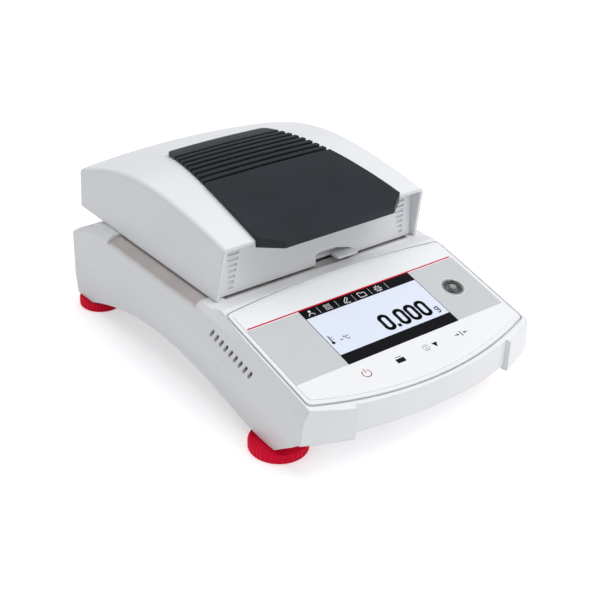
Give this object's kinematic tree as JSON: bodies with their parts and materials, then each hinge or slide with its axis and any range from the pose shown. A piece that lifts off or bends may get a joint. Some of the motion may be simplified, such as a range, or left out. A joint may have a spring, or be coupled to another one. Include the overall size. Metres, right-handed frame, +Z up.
{
  "type": "moisture analyzer",
  "caption": "Tabletop balance base with a sloping display panel and a hinged heating lid over a small sample pan, on levelling feet.",
  "frame": {"origin": "on the table, under the middle of the bounding box", "axes": "+Z up, +Y towards the back, where the lid's hinge and the mains inlet are, +X to the right seen from the front"},
  "size_m": [0.2164, 0.32, 0.1407],
  "materials": {
    "white_plastic": "fine satin texture",
    "black_plastic": "satin",
    "panel_film": "satin printed film",
    "display_glass": "smooth",
    "clear_glass": "polished",
    "stainless": "brushed",
    "aluminium": "bright",
    "steel": "plain",
    "foot_red": "satin",
    "dark_plastic": "fine",
    "board": "solder mask",
    "ceramic": "matt ceramic",
    "brass": "turned",
    "liquid_yellow": "clear liquid",
    "insulation": "pressed fibre"
  },
  "bodies": {
    "base": {"upper_housing": "white_plastic", "lower_housing": "white_plastic", "housing_screws": "steel", "chamber_deck": "stainless", "chamber_bowl": "stainless", "chamber_insulation": "insulation", "pan_support": "steel", "load_cell": "aluminium", "load_cell_pedestal": "aluminium", "control_panel": "white_plastic", "panel_film": "panel_film", "display_glass": "display_glass", "display_module": "steel", "touch_key_board": "board", "level_cup": "dark_plastic", "level_vial": "clear_glass", "level_bubble": "liquid_yellow", "main_board": "board", "board_posts": "brass", "power_supply": "board", "power_inlet": "dark_plastic", "inlet_contacts": "brass", "serial_port": "steel", "usb_ports": "steel", "hinge_brackets": "steel", "hinge_pins": "steel", "foot_nuts": "brass"},
    "lid": {"lid_shell": "white_plastic", "lid_front": "white_plastic", "vent_cover": "black_plastic", "lid_liner": "stainless", "lamp_glass": "clear_glass", "glass_retainer": "steel", "reflector": "aluminium", "halogen_lamp": "clear_glass", "lamp_holders": "ceramic", "temperature_sensor": "steel", "lid_hinge_arms": "steel"},
    "foot_front_left_body": {"foot_front_left": "foot_red"},
    "foot_front_right_body": {"foot_front_right": "foot_red"},
    "foot_rear_left_body": {"foot_rear_left": "foot_red"},
    "foot_rear_right_body": {"foot_rear_right": "foot_red"},
    "draft_shield_body": {"draft_shield": "steel"},
    "pan_handler_body": {"pan_handler": "steel"},
    "sample_pan_body": {"sample_pan": "aluminium"},
    "fuse_drawer_body": {"fuse_drawer": "dark_plastic"}
  },
  "joints": [
    {"name": "lid_hinge", "type": "hinge", "parent": "base", "child": "lid", "pos_m": [0, 0.145, 0.074], "axis": [-1, 0, 0], "range_deg": [0, 60]},
    {"name": "foot_front_left_turn", "type": "hinge", "parent": "base", "child": "foot_front_left_body", "pos_m": [-0.087, -0.0973, 0.01], "axis": [0, 0, 1], "range_deg": [-180, 180]},
    {"name": "foot_front_right_turn", "type": "hinge", "parent": "base", "child": "foot_front_right_body", "pos_m": [0.087, -0.0973, 0.01], "axis": [0, 0, 1], "range_deg": [-180, 180]},
    {"name": "foot_rear_left_turn", "type": "hinge", "parent": "base", "child": "foot_rear_left_body", "pos_m": [-0.086, 0.1426, 0.01], "axis": [0, 0, 1], "range_deg": [-180, 180]},
    {"name": "foot_rear_right_turn", "type": "hinge", "parent": "base", "child": "foot_rear_right_body", "pos_m": [0.086, 0.1426, 0.01], "axis": [0, 0, 1], "range_deg": [-180, 180]},
    {"name": "draft_shield_lift", "type": "slide", "parent": "base", "child": "draft_shield_body", "axis": [0, 0, 1], "range_m": [0, 0.008]},
    {"name": "pan_handler_lift", "type": "slide", "parent": "base", "child": "pan_handler_body", "axis": [0, 0, 1], "range_m": [0, 0.0025]},
    {"name": "sample_pan_lift", "type": "slide", "parent": "pan_handler_body", "child": "sample_pan_body", "axis": [0, 0, 1], "range_m": [0, 0.002]},
    {"name": "fuse_drawer_slide", "type": "slide", "parent": "base", "child": "fuse_drawer_body", "axis": [0, 1, 0], "range_m": [0, 0.012]}
  ]
}
